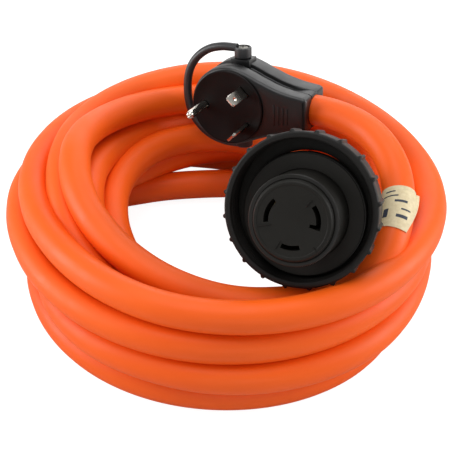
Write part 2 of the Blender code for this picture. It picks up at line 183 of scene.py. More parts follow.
def plastic_material(name, dark, light, rough_lo, rough_hi, shine=0.5, grain=900, depth=0.05):
    """Moulded plastic: fine spark-eroded grain, with rubbed and dusty areas."""
    n = Nodes(name)
    wear = n.noise(35, 6, 0.62)
    n.colour(n.ramp(wear, (0.35, dark), (0.75, light)))
    n.roughness(n.range(n.noise(90, 4, 0.6), rough_lo, rough_hi))
    n.bump(n.add(n.noise(grain, 2), n.noise(70, 2), 1.2), 0.35, depth)
    n.set(Specular_IOR_Level=shine)
    return n.mat


def metal_material(name, dark, light, rough_lo, rough_hi):
    """Plated metal with drawn scratches and slight tarnish."""
    n = Nodes(name)
    n.set(Metallic=1.0)
    n.colour(n.ramp(n.noise(180, 5, 0.6), (0.3, dark), (0.7, light)))
    n.roughness(n.range(n.noise(240, 3), rough_lo, rough_hi))
    n.bump(n.noise(900, 2), 0.06, 0.012)
    return n.mat


def floor_material():
    """A white floor: clean white to the camera, but dull enough not to light the cord from below."""
    n = Nodes("floor_white")
    n.set(Base_Color=(0.66, 0.64, 0.62, 1), Roughness=0.9, Specular_IOR_Level=0.0)
    shown = n.tree.nodes.new("ShaderNodeBsdfPrincipled")
    look = {
        "Base Color": (0.30, 0.30, 0.30, 1),
        "Roughness": 0.9,
        "Specular IOR Level": 0.0,
        "Emission Color": (1, 1, 1, 1),
        "Emission Strength": 0.93,
    }
    for key, value in look.items():
        shown.inputs[key].default_value = value
    mix = n.tree.nodes.new("ShaderNodeMixShader")
    path = n.tree.nodes.new("ShaderNodeLightPath")
    n.join(path.outputs["Is Camera Ray"], mix.inputs[0])
    n.join(n.bsdf.outputs["BSDF"], mix.inputs[1])
    n.join(shown.outputs["BSDF"], mix.inputs[2])
    n.join(mix.outputs[0], n.tree.nodes["Material Output"].inputs["Surface"])
    return n.mat


def label_material():
    """Cream film with paper-like mottling."""
    n = Nodes("label_film")
    n.colour(n.ramp(n.noise(400, 5, 0.7), (0.3, (0.62, 0.50, 0.29)), (0.7, (0.76, 0.65, 0.42))))
    n.roughness(n.range(n.noise(120, 3), 0.45, 0.65))
    n.bump(n.noise(600, 4), 0.3, 0.06)
    return n.mat


# Each plastic: name, darkest and lightest colour, lowest and highest roughness, specular level, grain, depth.
PLASTICS = {
    "plug": ("plug_vinyl", (0.0042, 0.0041, 0.0045), (0.0072, 0.0070, 0.0076), 0.30, 0.42, 0.55),
    "face": ("face_nylon", (0.0042, 0.0026, 0.0026), (0.0064, 0.0044, 0.0042), 0.42, 0.55, 0.18),
    "handle": ("handle_nylon", (0.0170, 0.0172, 0.0185), (0.024, 0.0242, 0.026), 0.38, 0.5, 0.6),
    "connector": ("connector_vinyl", (0.0075, 0.0068, 0.0056), (0.0120, 0.0109, 0.0090), 0.36, 0.48, 0.32),
    "insert": ("insert_nylon", (0.0088, 0.0082, 0.0067), (0.0128, 0.0119, 0.0099), 0.45, 0.58, 0.18),
    "ring": ("ring_nylon", (0.0074, 0.0067, 0.0060), (0.0116, 0.0107, 0.0097), 0.42, 0.54, 0.22),
    "rubber": ("seal_rubber", (0.0105, 0.0096, 0.0080), (0.0155, 0.0142, 0.0120), 0.55, 0.7, 0.2, 600, 0.08),
    "ink": ("label_ink", (0.030, 0.036, 0.055), (0.055, 0.062, 0.085), 0.5, 0.65, 0.3),
    "wire_black": ("wire_black", (0.015, 0.015, 0.015), (0.022, 0.022, 0.022), 0.35, 0.45),
    "wire_white": ("wire_white", (0.60, 0.60, 0.56), (0.72, 0.72, 0.68), 0.35, 0.45),
    "wire_green": ("wire_green", (0.012, 0.17, 0.045), (0.020, 0.23, 0.065), 0.35, 0.45),
}
# Each metal: name, darkest and lightest colour, lowest and highest roughness.
METALS = {
    "nickel": ("nickel", (0.72, 0.68, 0.60), (0.82, 0.78, 0.70), 0.13, 0.22),
    "screw": ("screw_steel", (0.12, 0.115, 0.10), (0.20, 0.19, 0.17), 0.3, 0.42),
    "brass": ("brass", (0.42, 0.30, 0.12), (0.58, 0.43, 0.19), 0.3, 0.45),
    # The contacts' brass is darkened: painted shade for the depth of the slots they sit in.
    "contact": ("contact_brass_painted_shade", (0.08, 0.06, 0.03), (0.14, 0.11, 0.06), 0.35, 0.5),
    "copper": ("copper", (0.62, 0.25, 0.13), (0.78, 0.36, 0.20), 0.28, 0.45),
}
MATS = {"jacket": jacket_material(), "label": label_material()}
MATS.update({key: plastic_material(*look) for key, look in PLASTICS.items()})
MATS.update({key: metal_material(*look) for key, look in METALS.items()})


# ---- mesh tools ---------------------------------------------------------------
def shade(data, angle):
    data.polygons.foreach_set("use_smooth", [True] * len(data.polygons))
    data.set_sharp_from_angle(angle=math.radians(angle))


def make(name, bm, mat, at=None, angle=35):
    """An object from a bmesh in mm, shaded smooth except across edges sharper than the angle."""
    for v in bm.verts:
        v.co *= MM
    bmesh.ops.recalc_face_normals(bm, faces=bm.faces)
    data = bpy.data.meshes.new(name)
    bm.to_mesh(data)
    bm.free()
    data.materials.append(MATS[mat])
    shade(data, angle)
    ob = new_object(name, data)
    if at is not None:
        ob.matrix_world = at
    return ob


def skin(rings, closed=False, bm=None):
    """Faces between loops of points, which are capped at both ends or closed into a ring."""
    if bm is None:
        bm = bmesh.new()
    rows = [[bm.verts.new(p) for p in ring] for ring in rings]
    n = len(rings[0])
    for a, b in zip(rows, rows[1:] + (rows[:1] if closed else [])):
        for i in range(n):
            j = (i + 1) % n
            bm.faces.new((a[i], a[j], b[j], b[i]))
    if not closed:
        bm.faces.new(rows[0])
        bm.faces.new(rows[-1])
    return bm


def turned(profile, n, hole=False, cx=0.0):
    """A (radius, height) outline turned about an upright axis; with a hole, its two ends meet."""
    turn = [2 * math.pi * i / n for i in range(n)]
    rings = [[(cx + r * math.cos(a), r * math.sin(a), z) for a in turn] for r, z in profile]
    return skin(rings, closed=hole)


def rounded(profile, radius, closed=False, steps=3):
    """Round the corners of a (radius, height) outline."""
    out = []
    pts = [Vector(p) for p in profile]
    n = len(pts)
    for i, p in enumerate(pts):
        if not closed and i in (0, n - 1):
            out.append(p)
            continue
        a, b = pts[i - 1], pts[(i + 1) % n]
        r = min(radius, 0.45 * (a - p).length, 0.45 * (b - p).length)
        pa = p + (a - p).normalized() * r
        pb = p + (b - p).normalized() * r
        for k in range(steps + 1):
            t = k / steps
            out.append(pa * (1 - t) ** 2 + p * 2 * t * (1 - t) + pb * t * t)
    return [tuple(p) for p in out]


def sweep(points, radius, n, up=Vector((0, 0, 1))):
    """Loops of a round bar along the points."""
    turn = [2 * math.pi * k / n for k in range(n)]
    rings = []
    for i, p in enumerate(points):
        t = (points[min(i + 1, len(points) - 1)] - points[max(i - 1, 0)]).normalized()
        s = t.cross(up).normalized()
        u = s.cross(t)
        rings.append([p + radius * (s * math.cos(a) + u * math.sin(a)) for a in turn])
    return rings


def rod(start, end, radius, n):
    a, b = Vector(start), Vector(end)
    up = Vector((0, 0, 1)) if abs((b - a).normalized().z) < 0.9 else Vector((1, 0, 0))
    return skin(sweep([a, b], radius, n, up))


def block(lo, hi):
    """A box between two corners."""
    bm = bmesh.new()
    for v in bmesh.ops.create_cube(bm, size=1.0)["verts"]:
        v.co = Vector([lo[k] + (v.co[k] + 0.5) * (hi[k] - lo[k]) for k in range(3)])
    return bm


def bevelled(bm, width, segments=2):
    bmesh.ops.bevel(bm, geom=bm.edges[:], offset=width, segments=segments, affect="EDGES", profile=0.6)
    return bm


def spun(bm, degrees, axis="Z", about=(0, 0, 0)):
    """The mesh turned about an axis through a point."""
    bmesh.ops.rotate(bm, verts=bm.verts, cent=about, matrix=Matrix.Rotation(math.radians(degrees), 3, axis))
    return bm


def combine(target, tools, how, angle=35):
    """Boolean the tool meshes, given in the target's own frame, into the target for good."""
    objs = []
    for bm in tools:
        ob = make("tool", bm, "plug", target.matrix_world.copy())
        objs.append(ob)
        mod = target.modifiers.new("b", "BOOLEAN")
        mod.operation = how
        mod.solver = "EXACT"
        mod.object = ob
    bpy.context.view_layer.update()
    graph = bpy.context.evaluated_depsgraph_get()
    data = bpy.data.meshes.new_from_object(target.evaluated_get(graph))
    target.modifiers.clear()
    old = target.data
    target.data = data
    bpy.data.meshes.remove(old)
    shade(data, angle)
    for ob in objs:
        bpy.data.objects.remove(ob, do_unlink=True)


def piece(ob, body, slot, *nodes):
    """Hand an object over: the body it rides and the solids that it replaces. The slot is not used."""
    if ob.type == "MESH":
        ob.data.transform(ob.matrix_world)
        ob.matrix_world = Matrix()
    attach(ob, body)
    if nodes:
        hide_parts(*nodes)
    return ob


def hermite(p0, t0, p1, t1, n):
    """A curve from p0 to p1 that leaves along t0 and arrives along t1, as n steps."""
    p0, t0, p1, t1 = (Vector(v) for v in (p0, t0, p1, t1))
    out = []
    for k in range(n + 1):
        t = k / n
        a = p0 * (2 * t**3 - 3 * t * t + 1) + t0 * (t**3 - 2 * t * t + t)
        out.append(a + p1 * (3 * t * t - 2 * t**3) + t1 * (t**3 - t * t))
    return out


def through(points, per):
    """A smooth curve through the points, with some steps to each span."""
    pts = [Vector(p) for p in points]
    ends = [2 * pts[0] - pts[1]] + pts + [2 * pts[-1] - pts[-2]]
    out = []
    for a, b, c, d in zip(ends, ends[1:], ends[2:], ends[3:]):
        out += hermite(b, (c - a) / 2, c, (d - b) / 2, per)[:-1]
    return out + [pts[-1]]


# ---- cord ---------------------------------------------------------------------
# The coil's turns: quarter turns clockwise from the right, distance from the middle, height.
TURNS = [
    (0.78, 88.6, 44.7), (1, 84.8, 46), (1.2, 84.4, 52), (1.4, 82.9, 57.3), (1.6, 82.6, 63),
    (1.8, 83.4, 69.5), (2, 83.4, 73.8), (2.2, 83.6, 70.2), (2.4, 83.4, 64.2), (2.6, 84.4, 58.8),
    (2.8, 84.1, 55.4), (3, 83.5, 54), (4, 90, 48), (4.7, 96, 31), (5, 96, 30), (5.5, 93, 46),
    (6, 91.5, 62), (6.4, 97, 61), (6.8, 97.4, 61), (7, 96.8, 61), (8, 109, 50), (8.3, 109.5, 53.6),
    (8.6, 110, 56.5), (9, 108.9, 58.5), (9.2, 107, 58.1), (9.4, 104.8, 57.7), (9.6, 103.5, 57),
    (9.8, 104.6, 56), (10, 107.2, 55), (10.2, 109.3, 53), (10.4, 110.1, 51), (11, 107, 44),
    (12, 103.5, 34), (12.3, 105.9, 36.3), (12.6, 108.5, 38.5), (13, 112, 41.5), (13.4, 111.2, 40.5),
    (13.8, 112.8, 39.5), (14, 115.4, 39), (14.2, 116.8, 37), (14.8, 90.5, 11), (15, 84.5, 9),
    (16, 103.5, 17), (16.3, 106.7, 19.5), (16.6, 113.2, 22), (16.8, 115.7, 23.7), (17, 117.2, 25.4),
    (17.2, 114.9, 24.7), (17.6, 109.1, 23.4), (18, 93, 31.5), (18.3, 78, 27), (18.55, 75.2, 23.2),
    (18.8, 76.6, 21.5), (19, 78.8, 20.5), (20, 88, 25), (21, 94.5, 13.5), (22, 77, 54.5),
    (22.4, 80, 46), (23, 90, 34), (24, 78, 37), (25, 77, 26), (26, 65, 41), (26.2, 66, 40.2),
    (26.4, 68.3, 39.4), (26.6, 70.6, 38), (26.8, 71.4, 36), (27, 71.3, 33.5), (28, 83, 11),
    (28.6, 107.5, 8.6), (28.8, 110.7, 8.6), (29, 111.9, 8.6), (29.4, 111.5, 8.6), (29.8, 107.5, 8.6),
    (30, 105.5, 8.6),
]
# The last stretch along the floor, inside the coil, before it climbs to the connector.
FLOOR_RUN = [
    (-102, 20), (-92, 35.5), (-77, 45.5), (-60, 50), (-45.2, 54.4), (-30.2, 56.8), (-15.1, 58.2), (-5, 58.8),
]
FLOOR_Z = 8.6
# Where the lead passes over the coil's right side, where it dips behind the ring, and its way at both.
OVER = Vector((85.5, -47, 68.5))
OVER_WAY = Vector((-0.20, -0.93, -0.30)).normalized()
DIP = Vector((61.0, -77.9, 47.1))
DIP_WAY = Vector((-0.86, -0.38, -0.33)).normalized()
# How strongly the lead and the tail hold the directions of their ends.
LEAD_PULL = 110
TAIL_PULL = 130
# Steps to a quarter turn while the turns are drawn, and the final step along the cord.
TURN_STEPS = 24
STEP = 3.0


def coil_points():
    """A smooth curve through the turns, in distance and height against angle."""
    knots = [Vector((r, z, q)) for q, r, z in TURNS]
    spans = [(b - a) / (b.z - a.z) for a, b in zip(knots, knots[1:])]
    slopes = [spans[0]]
    for before, after, a, b, c in zip(spans, spans[1:], knots, knots[1:], knots[2:]):
        slopes.append((before * (c.z - b.z) + after * (b.z - a.z)) / (c.z - a.z))
    slopes.append(spans[-1])
    out = []
    for a, b, leave, arrive in zip(knots, knots[1:], slopes, slopes[1:]):
        turn = b.z - a.z
        for r, z, q in hermite(a, leave * turn, b, arrive * turn, max(2, round(TURN_STEPS * turn)))[:-1]:
            angle = -q * math.pi / 2
            out.append(Vector((r * math.cos(angle), r * math.sin(angle), z)))
    return out


def spaced(points, step):
    """Points the same distance apart along a line."""
    pts = [points[0].copy()]
    left = step
    for a, b in zip(points, points[1:]):
        run = (b - a).length
        at = 0.0
        while run - at >= left:
            at += left
            pts.append(a.lerp(b, at / run))
            left = step
        left -= run - at
    pts.append(points[-1].copy())
    return pts


def relaxed(points, passes, keep):
    """The points evened out with their neighbours, apart from a few at each end."""
    for _ in range(passes):
        threes = zip(points[keep - 1:], points[keep:], points[keep + 1:len(points) - keep + 1])
        inner = [a * 0.25 + b * 0.5 + c * 0.25 for a, b, c in threes]
        points = points[:keep] + inner + points[-keep:]
    return points


def cord_route():
    """The cord's centre line, from inside the plug's neck to inside the connector."""
    neck = world(PLUG, (CORD_START, 0, PLUG_MID))
    out = world(PLUG, (NECK_END, 0, PLUG_MID))
    lead = hermite(out, (out - neck).normalized() * LEAD_PULL, OVER, OVER_WAY * LEAD_PULL, 20)
    coil = coil_points()
    down, under = (DIP - OVER).length, (coil[0] - DIP).length
    join = hermite(OVER, OVER_WAY * down * 1.15, DIP, DIP_WAY * down, 8)[:-1]
    join += hermite(DIP, DIP_WAY * under, coil[0], (coil[1] - coil[0]).normalized() * under, 6)
    # The floor run sets out along the last turn, whose own span is left out again.
    run = through([coil[-4], coil[-1]] + [(x, y, FLOOR_Z) for x, y in FLOOR_RUN], 10)[10:]
    rear = world(CONN, (0, 0, CONN_REAR))
    inner = world(CONN, (0, 0, CORD_STOP))
    tail = hermite(run[-1], (TAIL_PULL, 2.6, 0), rear, (inner - rear).normalized() * TAIL_PULL, 26)
    line = lead[:-1] + join[:-1] + coil[:-1] + run[:-1] + tail
    return [neck] + relaxed(spaced(line, STEP), 12, 2) + [inner]


def build_cord():
    line = cord_route()
    curve = bpy.data.curves.new("cord", "CURVE")
    curve.dimensions = "3D"
    curve.bevel_depth = CORD_R * MM
    curve.bevel_resolution = 7
    curve.use_fill_caps = True
    curve.resolution_u = 1
    spline = curve.splines.new("POLY")
    spline.points.add(len(line) - 1)
    for sp, p in zip(spline.points, line):
        sp.co = (*(p * MM), 1)
    curve.materials.append(MATS["jacket"])
    ob = piece(new_object("cord", curve), "cord_set", "jacket", "cord_coil", "cord_lead", "cord_tail")
    return ob, line


build_camera()
cord, cord_line = build_cord()


# ---- plug -----------------------------------------------------------------------
HEAD_R = 22.5
NECK = [
    (8.6, 20.9), (13, 19.2), (17, 17.4), (21, 15.9), (26, 14.0), (31, 12.6), (36, 11.5), (41, 10.8),
    (44.4, 10.4),
]
FACE_R = 21.2
# Middles of the blades and the pin, and of the crimps behind them.
BLADE_X, BLADE_Y, PIN_X = 10.1, 10.3, -14.0
CRIMP_Y, CRIMP_Z = 7.7, -13.5
CRIMP_R, CRIMP_BORE = 2.7, 1.75
PIVOT_X, PIVOT_Z = 1.0, -20.0
PIVOT = PLUG @ Matrix.Translation(Vector((PIVOT_X, 0, PIVOT_Z)) * MM)
# Where the side channel ends on the neck, and the length over which it fades out.
CHANNEL_END, CHANNEL_FADE = 46.0, 15.0
SIDES = (1, -1)


def plug_outline():
    """The plug's outline on its face: round head, waisted neck, chamfered end."""
    upper = [(p.x, p.y) for p in through([(x, y, 0) for x, y in NECK], 4)]
    start = math.atan2(NECK[0][1], NECK[0][0])
    turns = 96
    head = []
    for i in range(1, turns):
        a = start + 2 * (math.pi - start) * i / turns
        head.append((HEAD_R * math.cos(a), HEAD_R * math.sin(a)))
    end = [(NECK_END, -8.6), (NECK_END - 0.5, -9.6)]
    lower = [(x, -y) for x, y in upper]
    return upper[::-1] + head + lower + end[::-1] + [(x, -y) for x, y in end]


def level(outline, z, depth, fading=False):
    """The outline at a height, drawn in by a depth that may fade out along the neck."""
    out = []
    for i, (x, y) in enumerate(outline):
        xa, ya = outline[i - 1]
        xb, yb = outline[(i + 1) % len(outline)]
        t = Vector((xb - xa, yb - ya)).normalized()
        left = min(1.0, max(0.0, (CHANNEL_END - x) / CHANNEL_FADE)) if fading else 1.0
        d = depth * left * left * (3 - 2 * left)
        out.append((x - t.y * d, y + t.x * d, z))
    return out


def build_plug_body():
    """The moulded body with its side channel and the two raised bosses for the handle."""
    outline = plug_outline()
    back = [
        (-28.7, 2.2), (-28.55, 1.3), (-28.1, 0.55), (-27.4, 0.12), (-26.6, 0.0), (-18.3, 0.0), (-17.75, 0.1),
        (-17.35, 0.42),
    ]
    groove = [(-17.15, 1.1), (-16.95, 2.3), (-16.5, 2.55), (-11.5, 2.55), (-11.05, 2.3), (-10.85, 1.1)]
    front = [
        (-10.6, 0.42), (-10.2, 0.1), (-9.7, 0.0), (-3.3, 0.0), (-2.4, 0.18), (-1.75, 0.62), (-1.35, 1.3),
        (-1.2, 2.1),
    ]
    rings = [level(outline, z, d) for z, d in back]
    rings += [level(outline, z, d, fading=True) for z, d in groove]
    rings += [level(outline, z, d) for z, d in front]
    body = make("plug_shell", skin(rings), "plug", PLUG, 28)
    pads = []
    for sign in SIDES:
        lo, hi = sorted((sign * 17.0, sign * 23.4))
        pad = block((PIVOT_X - 5.6, lo, PIVOT_Z - 4.9), (PIVOT_X + 6.2, hi, PIVOT_Z + 4.9))
        pads.append(bevelled(pad, 0.5))
    combine(body, pads, "UNION", 28)
    # The face plate's seat, the chamber behind it, the wires' way to the neck, the cord's socket, and the
    # holes for the handle's inserts.
    cuts = [
        turned([(FACE_R + 0.15, -3.0), (FACE_R + 0.15, 3.0)], 96),
        turned([(16.4, -22.5), (16.4, -2.5)], 64),
        block((9, -10.4, PLUG_MID - 5.6), (21, 10.4, PLUG_MID + 5.6)),
        block((19, -8.4, PLUG_MID - 5.8), (29.5, 8.4, PLUG_MID + 5.8)),
        block((28, -6.2, PLUG_MID - 6.0), (36, 6.2, PLUG_MID + 6.0)),
        rod((33, 0, PLUG_MID), (50, 0, PLUG_MID), CORD_R + 0.12, 48),
    ]
    cuts += [rod((PIVOT_X, sign * 17.6, PIVOT_Z), (PIVOT_X, sign * 25, PIVOT_Z), 3.1, 24) for sign in SIDES]
    combine(body, cuts, "DIFFERENCE", 28)
    ribs = []
    for k in range(4):
        x = 27.0 + 2.6 * k
        ribs.append(bevelled(block((x, -7.4 + 0.55 * k, -1.6), (x + 1.3, 4.6 - 0.4 * k, -0.95)), 0.2))
    combine(body, ribs, "UNION", 28)
    return piece(body, "cord_set", "black_vinyl", "plug_body")


def build_plug_face():
    """The face plate, with slots for the blades and a hole for the pin."""
    profile = [
        (17.2, -7.1), (17.2, -3.2), (FACE_R, -3.2), (FACE_R, -0.2), (21.0, 0.12), (20.5, 0.2), (20.05, 0.12),
        (19.8, 0.0),
    ]
    face = make("plug_face_plate", turned(profile, 96), "face", PLUG, 30)
    cuts = [rod((PIN_X, 0, -9), (PIN_X, 0, 3), 2.75, 32)]
    for sign in SIDES:
        y = sign * BLADE_Y
        slot = block((BLADE_X - 3.7, y - 1.2, -9), (BLADE_X + 3.7, y + 1.2, 3))
        cuts.append(spun(slot, -45 * sign, about=(BLADE_X, y, 0)))
    combine(face, cuts, "DIFFERENCE", 30)
    return piece(face, "cord_set", "face_nylon", "plug_face")


def build_blade(name, sign):
    """A stamped blade with eased edges, a chamfered nose, a hole and a crimp barrel inside."""
    y = sign * BLADE_Y
    thick = 0.85
    # Height, half the width and half the thickness.
    sections = [
        (-11.1, 3.1, thick), (-8.2, 3.1, thick), (-6, 3.4, thick), (15.6, 3.4, thick), (16.9, 3.0, 0.82),
        (17.6, 2.5, 0.62), (18.0, 2.0, 0.4),
    ]
    rings = []
    for z, a, b in sections:
        ease = 0.28 * b / thick
        corners = []
        for sx, sy in ((1, 1), (-1, 1), (-1, -1), (1, -1)):
            pair = [(sx * (a - ease), sy * b), (sx * a, sy * (b - ease))]
            corners += pair if sx * sy < 0 else pair[::-1]
        rings.append([(BLADE_X + across, y + out, z) for across, out in corners])
    bm = spun(skin(rings), -45 * sign, about=(BLADE_X, y, 0))
    blade = make(f"blade_{name}_plated", bm, "nickel", PLUG, 25)
    crimp = sign * CRIMP_Y
    combine(blade, [rod((4.2, crimp, CRIMP_Z), (11.4, crimp, CRIMP_Z), CRIMP_R, 32)], "UNION", 25)
    drill = Vector((math.sin(math.radians(45 * sign)), math.cos(math.radians(45 * sign)), 0)) * 3
    hole = Vector((BLADE_X, y, 12.9))
    cuts = [
        rod((5.8, crimp, CRIMP_Z), (13.4, crimp, CRIMP_Z), CRIMP_BORE, 24),
        rod(hole - drill, hole + drill, 1.4, 24),
    ]
    combine(blade, cuts, "DIFFERENCE", 25)
    return piece(blade, "cord_set", "nickel", f"blade_{name}")


def build_ground_pin():
    """A folded round pin: domed end with a dimple, and a seam down one side."""
    profile = [
        (2.4, CRIMP_Z + 0.2), (2.4, 16.4), (2.32, 17.6), (2.08, 18.7), (1.68, 19.6), (1.2, 20.15),
        (0.85, 20.3), (0.5, 19.9), (0.2, 19.7),
    ]
    pin = make("ground_pin_plated", turned(profile, 40, cx=PIN_X), "nickel", PLUG, 40)
    combine(pin, [rod((PIN_X - 2.2, 0, CRIMP_Z), (PIN_X + 6, 0, CRIMP_Z), CRIMP_R, 32)], "UNION", 40)
    seam = bevelled(block((PIN_X + 2.05, -0.22, 1.0), (PIN_X + 3, 0.22, 22)), 0.05, 1)
    combine(pin, [rod((PIN_X, 0, CRIMP_Z), (PIN_X + 8, 0, CRIMP_Z), CRIMP_BORE, 24), seam], "DIFFERENCE", 40)
    return piece(pin, "cord_set", "nickel", "ground_pin")


# Half of the handle's bar, from an eyelet to the middle.
LOOP = [
    (-2.5, 28.6), (-7, 28.6), (-12, 28.3), (-19, 26.5), (-25, 22.9), (-29.8, 17.9), (-32.8, 12.2),
    (-34.3, 6.2), (-34.7, 0),
]


def build_handle():
    """The pull handle: a round bar with an eyelet at each end, sunk for the screw's head."""
    half = [(x - PIVOT_X, y, 0) for x, y in LOOP]
    path = through(half + [(x, -y, z) for x, y, z in reversed(half[:-1])], 6)
    ob = make("pull_handle_loop", skin(sweep(path, 2.38, 28)), "handle", PIVOT, 40)
    eyes, cuts = [], []
    for sign in SIDES:
        outline = rounded([(0.01, 23.65), (4.85, 23.65), (4.85, 29.5), (0.01, 29.5)], 0.6)
        eyes.append(spun(turned(outline, 48), -90 * sign, "X"))
        cuts.append(spun(turned([(3.7, 28.2), (3.7, 32.0)], 40), -90 * sign, "X"))
        cuts.append(spun(turned([(1.9, 20.0), (1.9, 32.0)], 32), -90 * sign, "X"))
    combine(ob, eyes, "UNION", 40)
    combine(ob, cuts, "DIFFERENCE", 40)
    return piece(ob, "handle", "black_vinyl", "pull_handle")


def build_handle_screw(name, sign):
    """A domed cross-head screw."""
    at = PIVOT @ Matrix.Rotation(math.radians(-90 * sign), 4, "X")
    dome = [(3.45 * math.cos(a), 28.7 + 1.05 * math.sin(a)) for a in map(math.radians, range(0, 90, 10))]
    profile = [(1.35, 18.6), (1.35, 28.25), (3.2, 28.25), (3.45, 28.45)] + dome + [(0.15, 29.75)]
    ob = make(f"handle_screw_{name}_head", turned(profile, 40), "screw", at, 35)
    cross = [spun(block((-1.7, -0.36, 29.0), (1.7, 0.36, 33)), turn) for turn in (20, 110)]
    combine(ob, cross, "DIFFERENCE", 35)
    return piece(ob, "cord_set", "nickel", f"handle_screw_{name}")


plug_pieces = [build_plug_body(), build_plug_face()]
plug_pieces += [build_blade("hot", 1), build_blade("neutral", -1), build_ground_pin()]
build_handle()
plug_pieces += [build_handle_screw("upper", 1), build_handle_screw("lower", -1)]


# ---- connector --------------------------------------------------------------------
BARREL_R, BARREL_TOP = 22.4, 22.0
FLANGE_R = 31.0
SLEEVE_R = CORD_R + 0.15
SLOT_R = 12.9
# First and last angle of each slot.
SLOTS = ((128, 181), (-117, -76), (-20, 33))
FACE_TOP = 24.5
RING = CONN @ Matrix.Translation(Vector((-0.1, 2.9, 0)) * MM)
RING_FRONT, RING_LIP, RING_REAR = 8.0, -7.2, -10.0
RING_R = 38.0
RING_RIBS, RIB_HALF = 20, 1.25
THREAD_R, THREAD_PITCH = 35.7, 2.9


def build_connector_body():
    """Barrel, flange and tapered grip with shallow flutes, hollow inside."""
    outside = [
        (SLEEVE_R, CONN_REAR), (12.2, CONN_REAR), (13.6, CONN_REAR + 1.4), (16.5, -50), (22.0, -38),
        (23.6, -31), (23.6, -5), (30.2, -5), (FLANGE_R, -4.2), (FLANGE_R, 0.2), (BARREL_R, 0.2),
        (BARREL_R, BARREL_TOP), (20.5, BARREL_TOP), (20.1, BARREL_TOP - 0.2), (20.1, 3.0),
    ]
    inside = [(17.8, 3.0), (17.8, -24), (8.0, -34), (8.0, -48), (SLEEVE_R, -48)]
    profile = rounded(outside, 1.0) + inside
    ob = make("connector_shell", turned(profile, 128, hole=True), "connector", CONN, 30)
    flutes = [spun(rod((25.6, 0, -33), (25.6, 0, -12), 2.6, 20), 30 * k + 15) for k in range(12)]
    combine(ob, flutes, "DIFFERENCE", 30)
    return piece(ob, "cord_set", "black_vinyl", "connector_body")


def arc_block(r0, r1, a0, a1, z0, z1, n=14):
    """A curved bar between two radii, two angles and two heights."""
    rings = []
    for i in range(n + 1):
        a = math.radians(a0 + (a1 - a0) * i / n)
        c, s = math.cos(a), math.sin(a)
        rings.append([(r0 * c, r0 * s, z0), (r1 * c, r1 * s, z0), (r1 * c, r1 * s, z1), (r0 * c, r0 * s, z1)])
    return skin(rings)


def build_insert():
    """The stepped face with three curved slots, the last with a key, and a few plain marks for lettering."""
    outline = [
        (20.0, 3.4), (20.0, 22.3), (19.6, 22.6), (19.5, 23.6), (18.8, FACE_TOP), (17.5, FACE_TOP),
        (17.3, FACE_TOP - 0.25), (0.01, FACE_TOP - 0.25),
    ]
    ob = make("connector_face_insert", turned(rounded(outline, 0.3), 128), "insert", CONN, 30)
    cuts = [arc_block(SLOT_R - 1.2, SLOT_R + 1.2, lo, hi, 4.5, 30) for lo, hi in SLOTS]
    cuts.append(arc_block(SLOT_R - 4.2, SLOT_R + 0.4, -20, -9.5, 10, 30, 3))
    combine(ob, cuts, "DIFFERENCE", 30)
    marks = []
    for angle, near, far in ((45, 9.8, 14.2), (187, 10.6, 17.0), (-124, 11.2, 16.0), (-52, 15.6, 18.2)):
        mark = block((near, -0.2, FACE_TOP - 0.2), (far, 0.2, FACE_TOP + 0.24))
        marks.append(spun(bevelled(mark, 0.06, 1), angle))
    combine(ob, marks, "UNION", 30)
    return piece(ob, "cord_set", "face_nylon", "connector_insert")


def build_gasket():
    outline = rounded([(22.6, 0.35), (30.3, 0.35), (30.3, 1.6), (22.6, 1.6)], 0.35, closed=True)
    ob = make("flange_gasket_flat", turned(outline, 128, hole=True), "rubber", CONN, 40)
    return piece(ob, "cord_set", "rubber", "flange_gasket")


def build_ring():
    """The ribbed locking ring, with a real helical thread inside."""
    per = 18
    n = RING_RIBS * per
    turn = [2 * math.pi * i / n + math.radians(4) for i in range(n)]

    def rib(i, height):
        """Radius added by the rib nearest to step i."""
        across = ((i - per / 2) % per - per / 2) * (2 * math.pi / n) * RING_R
        return height * math.sqrt(max(0.0, 1 - (across / RIB_HALF) ** 2))

    def loop(radius, z, height):
        """One loop round the ring, with its ribs standing out by the height."""
        out = []
        for i, a in enumerate(turn):
            r = radius + rib(i, height)
            out.append((r * math.cos(a), r * math.sin(a), z))
        return out

    def thread(z, fade):
        """One loop of the thread, whose crest comes round with the height."""
        out = []
        for a in turn:
            wave = 0.5 + 0.5 * math.sin(2 * math.pi * z / THREAD_PITCH + a)
            r = THREAD_R - fade * wave**1.5
            out.append((r * math.cos(a), r * math.sin(a), z))
        return out

    # Radius, height and how far the ribs stand out: over the front, down the outside, round the lip.
    outline = [
        (35.2, RING_FRONT - 0.9, 0), (35.4, RING_FRONT - 0.3, 0), (35.8, RING_FRONT, 0),
        (37.6, RING_FRONT, 0), (38.15, RING_FRONT - 0.2, 0), (38.5, RING_FRONT - 0.7, 0.35),
        (38.6, RING_FRONT - 1.1, 1.0), (38.65, RING_FRONT - 1.7, 1.25),
        (38.46, 4.0, 1.3), (38.1, 0.0, 1.3), (37.74, -4.0, 1.3),
        (37.3, RING_REAR + 1.7, 1.25), (37.25, RING_REAR + 1.1, 1.0), (37.15, RING_REAR + 0.7, 0.35),
        (36.7, RING_REAR + 0.2, 0), (36.1, RING_REAR, 0), (28.5, RING_REAR, 0), (28.1, RING_REAR + 0.3, 0),
        (28.1, RING_LIP - 0.3, 0), (28.5, RING_LIP, 0), (35.4, RING_LIP, 0), (THREAD_R, RING_LIP + 0.3, 0),
    ]
    rings = [loop(*point) for point in outline]
    z = RING_LIP + 0.9
    while z < RING_FRONT - 0.8:
        fade = min(1.0, (z - RING_LIP - 0.6) / 2.5, (RING_FRONT - 0.6 - z) / 2.0)
        rings.append(thread(z, max(0.0, fade)))
        z += 0.36
    ob = make("locking_ring_ribbed", skin(rings, closed=True), "ring", RING, 40)
    return piece(ob, "ring", "black_vinyl", "locking_ring")


